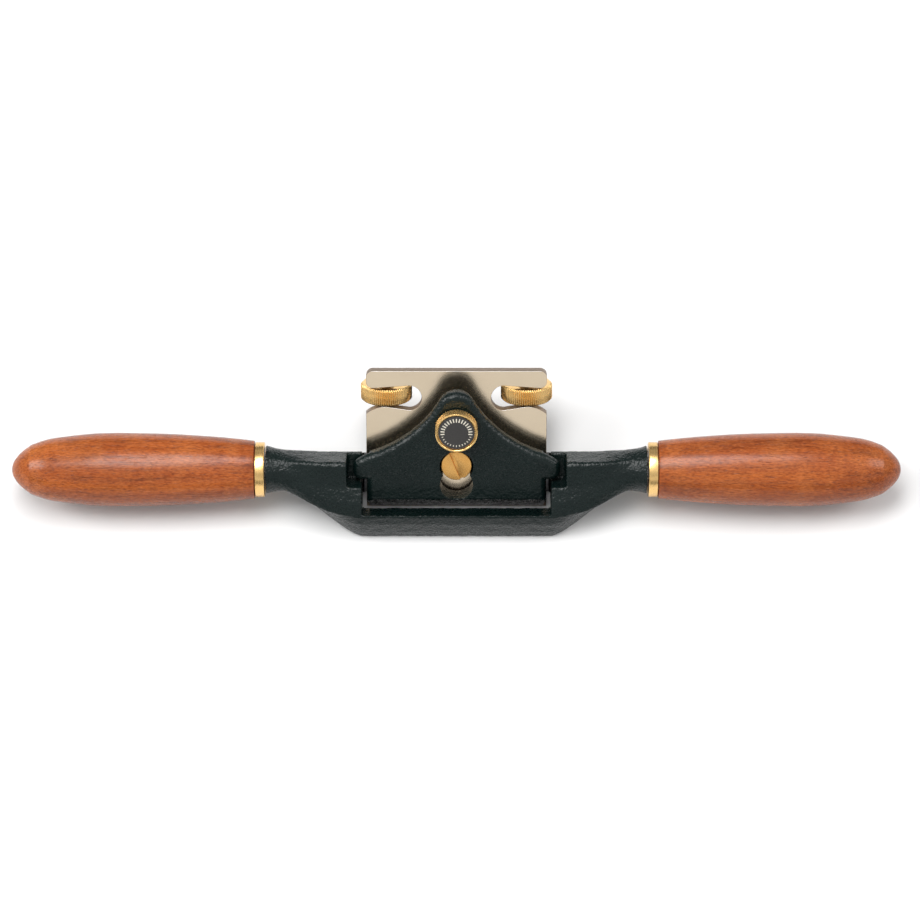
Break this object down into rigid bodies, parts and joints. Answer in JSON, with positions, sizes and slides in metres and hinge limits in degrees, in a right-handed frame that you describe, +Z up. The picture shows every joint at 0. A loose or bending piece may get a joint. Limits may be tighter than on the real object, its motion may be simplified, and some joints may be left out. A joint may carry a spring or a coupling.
{
  "type": "spokeshave",
  "caption": "Metal spokeshave with a cast body, bevel-down blade, lever cap, brass adjusting nuts and thumbscrew, and turned wooden handles in line.",
  "frame": {"origin": "on the plane of the sole, at the middle of the object's box seen from above", "axes": "+X along the handles, +Z up from the sole, -Y forwards towards the toe, so the blade leans back towards +Y"},
  "size_m": [0.266, 0.046, 0.0364],
  "materials": {
    "casting": "semi-gloss black paint over a rough casting",
    "blade_steel": "satin ground",
    "brass": "polished",
    "badge": "satin black",
    "stud_steel": "turned and threaded",
    "handle_wood": "oiled reddish hardwood"
  },
  "bodies": {
    "frame": {"body": "casting", "adjuster_stud_left": "stud_steel", "adjuster_stud_right": "stud_steel", "handle_left": "handle_wood", "handle_right": "handle_wood", "ferrule_left": "brass", "ferrule_right": "brass", "handle_stud_left": "stud_steel", "handle_stud_right": "stud_steel"},
    "blade": {"blade": "blade_steel"},
    "nut_left": {"adjuster_nut_left": "brass"},
    "nut_right": {"adjuster_nut_right": "brass"},
    "lever_cap": {"lever_cap": "casting"},
    "thumbscrew": {"thumbscrew_stem": "brass"},
    "knob": {"thumbscrew_knob": "brass", "knob_badge": "badge"},
    "cap_screw": {"cap_screw": "brass"}
  },
  "joints": [
    {"name": "blade_slide", "type": "slide", "parent": "frame", "child": "blade", "axis": [0, 0.7071, 0.7071], "range_m": [-0.001, 0.004]},
    {"name": "nut_left_turn", "type": "hinge", "parent": "blade", "child": "nut_left", "pos_m": [-0.021, 0.01619, 0.02047], "axis": [0, 0.7071, 0.7071], "range_deg": [-451, 1801]},
    {"name": "nut_right_turn", "type": "hinge", "parent": "blade", "child": "nut_right", "pos_m": [0.021, 0.01619, 0.02047], "axis": [0, 0.7071, 0.7071], "range_deg": [-451, 1801]},
    {"name": "cap_tilt", "type": "hinge", "parent": "frame", "child": "lever_cap", "pos_m": [0, -0.01262, 0.00177], "axis": [-1, 0, 0], "range_deg": [0, 6.51]},
    {"name": "stem_slide", "type": "slide", "parent": "lever_cap", "child": "thumbscrew", "axis": [0, -0.788, 0.6157], "range_m": [0, 0.0033]},
    {"name": "knob_turn", "type": "hinge", "parent": "thumbscrew", "child": "knob", "pos_m": [0, -0.00292, 0.03124], "axis": [0, -0.788, 0.6157], "range_deg": [0, 1486]},
    {"name": "cap_screw_turn", "type": "hinge", "parent": "frame", "child": "cap_screw", "pos_m": [0, -0.0017, 0.0122], "axis": [0, -0.7071, 0.7071], "range_deg": [-180, 180]}
  ],
  "couplings": [
    {"joint": "nut_left_turn", "follows": "blade_slide", "rad_per_m": 7854},
    {"joint": "nut_right_turn", "follows": "blade_slide", "rad_per_m": 7854},
    {"joint": "knob_turn", "follows": "stem_slide", "rad_per_m": 7854},
    {"joint": "cap_tilt", "follows": "stem_slide", "rad_per_m": 34.243}
  ]
}
